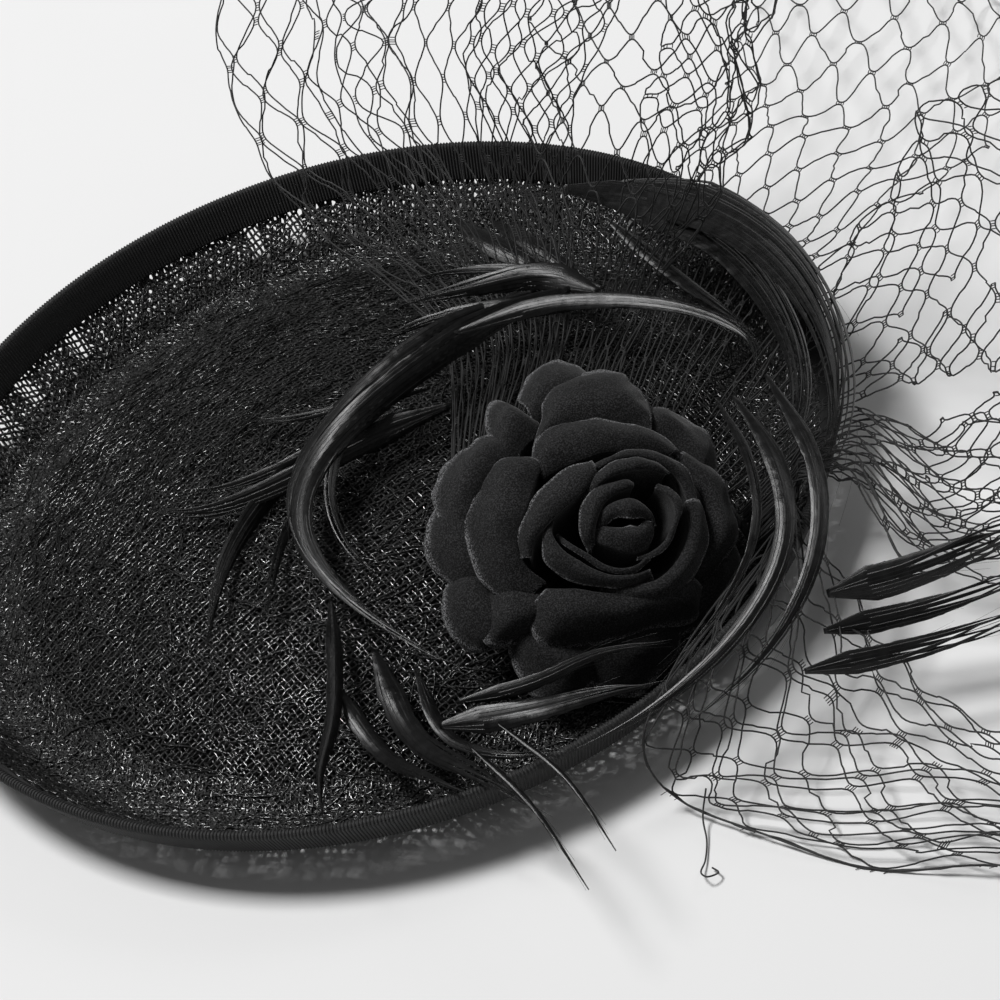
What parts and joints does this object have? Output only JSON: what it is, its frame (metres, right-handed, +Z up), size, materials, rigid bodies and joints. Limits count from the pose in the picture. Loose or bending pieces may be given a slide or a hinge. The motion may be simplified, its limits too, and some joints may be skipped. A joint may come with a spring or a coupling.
{
  "type": "fascinator headpiece",
  "caption": "Round upturned straw saucer with ribbon-bound rim, fabric rose, curled feathers, gathered diamond veil and sprung hair clips underneath.",
  "frame": {"origin": "centre of the flat ring under the saucer, on the surface that it rests on", "axes": "+Z up through the crown; +X towards the side that carries the rose; +Y towards the back of the veil"},
  "size_m": [0.3741, 0.3782, 0.1311],
  "materials": {
    "straw_cloth": "shiny open weave",
    "lining": "matte plain weave",
    "grosgrain": "ribbed ribbon, dull satin",
    "wire": "cotton-wrapped wire",
    "felt": "matte felt",
    "petal_fabric": "matte crepe with fine nap",
    "feather": "glossy barbs",
    "net_thread": "twisted thread",
    "clip_steel": "black enamel"
  },
  "bodies": {
    "headpiece": {"straw_base": "straw_cloth", "crown_lining": "lining", "rim_ribbon": "grosgrain", "rim_wire": "wire", "felt_disc": "felt", "rose_calyx": "petal_fabric", "rose_bud": "petal_fabric", "rose_petal_inner_1": "petal_fabric", "rose_petal_inner_2": "petal_fabric", "rose_petal_inner_3": "petal_fabric", "rose_petal_mid_1": "petal_fabric", "rose_petal_mid_2": "petal_fabric", "rose_petal_mid_3": "petal_fabric", "rose_petal_mid_4": "petal_fabric", "rose_petal_mid_5": "petal_fabric", "rose_petal_outer_1": "petal_fabric", "rose_petal_outer_2": "petal_fabric", "rose_petal_outer_3": "petal_fabric", "rose_petal_outer_4": "petal_fabric", "rose_petal_outer_5": "petal_fabric", "rose_petal_outer_6": "petal_fabric", "rose_petal_outer_7": "petal_fabric", "feather_big_twist": "feather", "feather_top_left": "feather", "feather_left_tip": "feather", "feather_left_down": "feather", "feather_cross_ribbon": "feather", "feather_lower": "feather", "feather_under_rose": "feather", "feather_right_arc": "feather", "feather_crescent": "feather", "feather_tail_upper": "feather", "feather_tail_lower": "feather", "feather_over_rose": "feather", "feather_top_bunch": "feather", "feather_long_curve": "feather", "feather_quills": "feather", "veil_gather": "net_thread", "veil_back_left": "net_thread", "veil_back_mid": "net_thread", "veil_far": "net_thread", "veil_right_fold": "net_thread", "veil_right_ruffle": "net_thread", "veil_front_right": "net_thread", "clip_pads": "felt", "clip_stitches": "net_thread", "clip_left_leaf": "clip_steel", "clip_left_pin": "clip_steel", "clip_left_spring": "clip_steel", "clip_right_leaf": "clip_steel", "clip_right_pin": "clip_steel", "clip_right_spring": "clip_steel"},
    "clip_left_jaw": {"clip_left_lever": "clip_steel"},
    "clip_right_jaw": {"clip_right_lever": "clip_steel"}
  },
  "joints": [
    {"name": "clip_left_hinge", "type": "hinge", "parent": "headpiece", "child": "clip_left_jaw", "pos_m": [-0.05851, -0.01, 0.01083], "axis": [-0.97, 0, -0.243], "range_deg": [0, 20], "stiffness_Nm_per_rad": 0.012, "springref_deg": -28.65},
    {"name": "clip_right_hinge", "type": "hinge", "parent": "headpiece", "child": "clip_right_jaw", "pos_m": [0.05851, -0.01, 0.01083], "axis": [-0.97, 0, 0.243], "range_deg": [0, 20], "stiffness_Nm_per_rad": 0.012, "springref_deg": -28.65}
  ]
}
